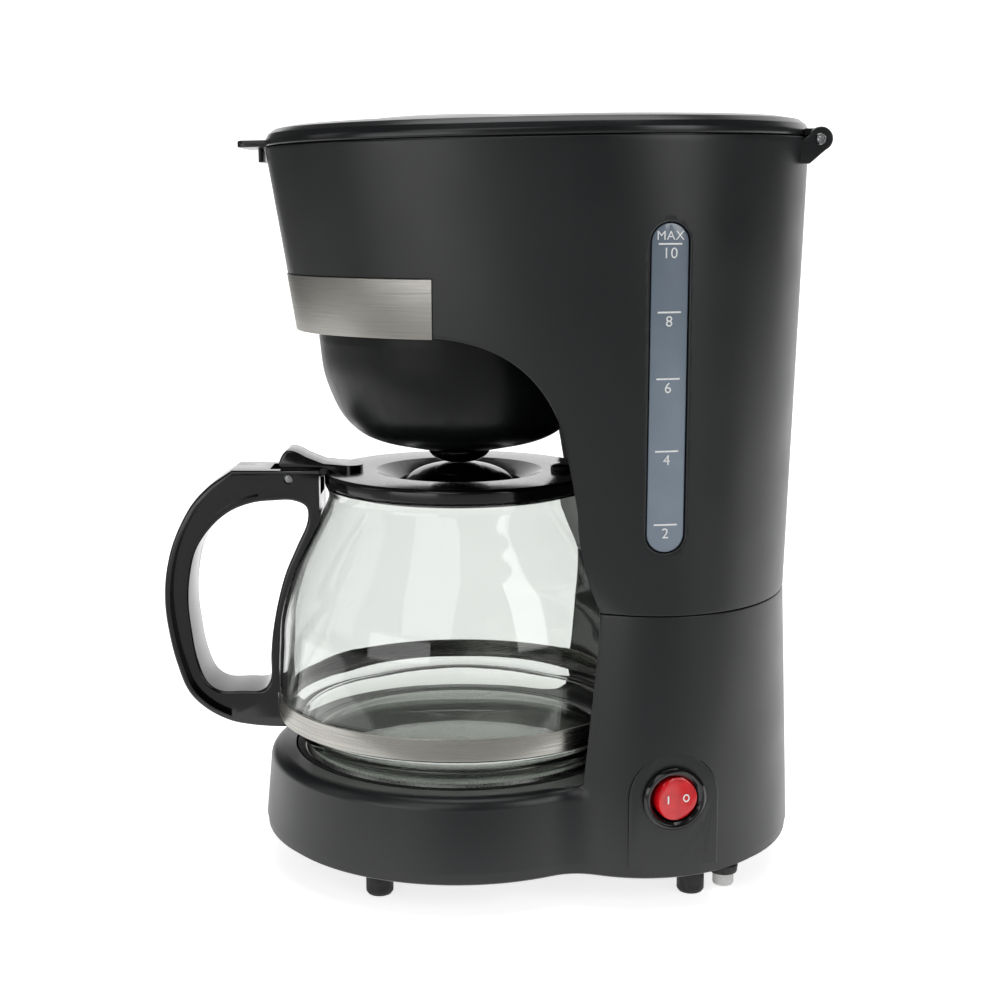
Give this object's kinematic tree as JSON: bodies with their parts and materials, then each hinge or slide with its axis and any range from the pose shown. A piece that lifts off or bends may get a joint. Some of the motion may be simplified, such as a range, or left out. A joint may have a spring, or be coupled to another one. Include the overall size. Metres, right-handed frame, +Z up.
{
  "type": "drip coffee maker",
  "caption": "Drip coffee maker with rear water tank, overhanging brew head, hinged top lid, side level window, rocker switch and a handled glass carafe on a round hot plate",
  "frame": {"origin": "on the table, under the middle of the product's outline", "axes": "+Z up; -Y is the front, where the carafe slides out; +X is the side with the level window and the switch"},
  "size_m": [0.16, 0.2554, 0.2923],
  "materials": {
    "housing_plastic": "satin moulded, fine texture",
    "lid_plastic": "satin moulded",
    "basket_plastic": "plain moulded",
    "filter_mesh": "fine nylon mesh",
    "gloss_black_plastic": "polished",
    "carafe_black_plastic": "polished",
    "silicone": "translucent silicone",
    "stainless_steel": "brushed along its length, bright bevels",
    "hardware_steel": "plain",
    "window_plastic": "smoke-blue translucent with white marks",
    "plate_coating": "non-stick coating",
    "aluminium": "as extruded",
    "black_rubber": "matte",
    "pale_rubber": "matte",
    "pale_plastic": "plain",
    "red_plastic": "translucent, lit from within",
    "carafe_glass": "clear blown glass"
  },
  "bodies": {
    "body": {"upper_housing": "housing_plastic", "lower_housing": "housing_plastic", "bottom_cover": "housing_plastic", "steel_trim": "stainless_steel", "level_window": "window_plastic", "brew_bowl": "housing_plastic", "filter_basket": "basket_plastic", "filter_cone": "filter_mesh", "valve_spring": "hardware_steel", "hinge_pin_right": "hardware_steel", "hinge_pin_left": "hardware_steel", "hot_plate": "plate_coating", "plate_seal": "black_rubber", "heater_tube": "aluminium", "heater_clamp": "aluminium", "thermostat": "aluminium", "thermal_fuse": "pale_plastic", "cold_hose": "silicone", "hot_hose": "silicone", "cold_spout": "gloss_black_plastic", "hot_spout": "gloss_black_plastic", "check_valve": "silicone", "riser_tube": "silicone", "water_spout": "gloss_black_plastic", "switch_case": "gloss_black_plastic", "cord_gland": "black_rubber", "terminal_block": "pale_plastic", "foot_front_right": "black_rubber", "foot_front_left": "black_rubber", "foot_rear_right": "black_rubber", "foot_rear_left": "black_rubber", "pale_plug_right": "pale_rubber", "pale_plug_left": "pale_rubber", "cover_screw_1": "hardware_steel", "cover_screw_2": "hardware_steel", "cover_screw_3": "hardware_steel", "cover_screw_4": "hardware_steel"},
    "lid": {"lid_cover": "lid_plastic", "lid_baffle": "lid_plastic"},
    "valve": {"drip_valve": "gloss_black_plastic", "valve_seal": "silicone"},
    "rocker": {"switch_rocker": "red_plastic"},
    "carafe": {"carafe_glass": "carafe_glass", "carafe_band": "stainless_steel", "carafe_handle": "carafe_black_plastic", "carafe_lid": "carafe_black_plastic", "carafe_lid_pin": "hardware_steel"}
  },
  "joints": [
    {"name": "lid_hinge", "type": "hinge", "parent": "body", "child": "lid", "pos_m": [0, 0.12334, 0.2823], "axis": [-1, 0, 0], "range_deg": [0, 100]},
    {"name": "carafe_slide", "type": "slide", "parent": "body", "child": "carafe", "axis": [0, -1, 0], "range_m": [0, 0.18]},
    {"name": "valve_lift", "type": "slide", "parent": "body", "child": "valve", "axis": [0, 0, 1], "range_m": [0, 0.0025], "stiffness_N_per_m": 300, "springref_m": -0.001, "deforming": ["valve_spring"]},
    {"name": "switch_rock", "type": "hinge", "parent": "body", "child": "rocker", "pos_m": [0.06595, 0.06895, 0.044], "axis": [0, 0, -1], "range_deg": [0, 18]}
  ]
}
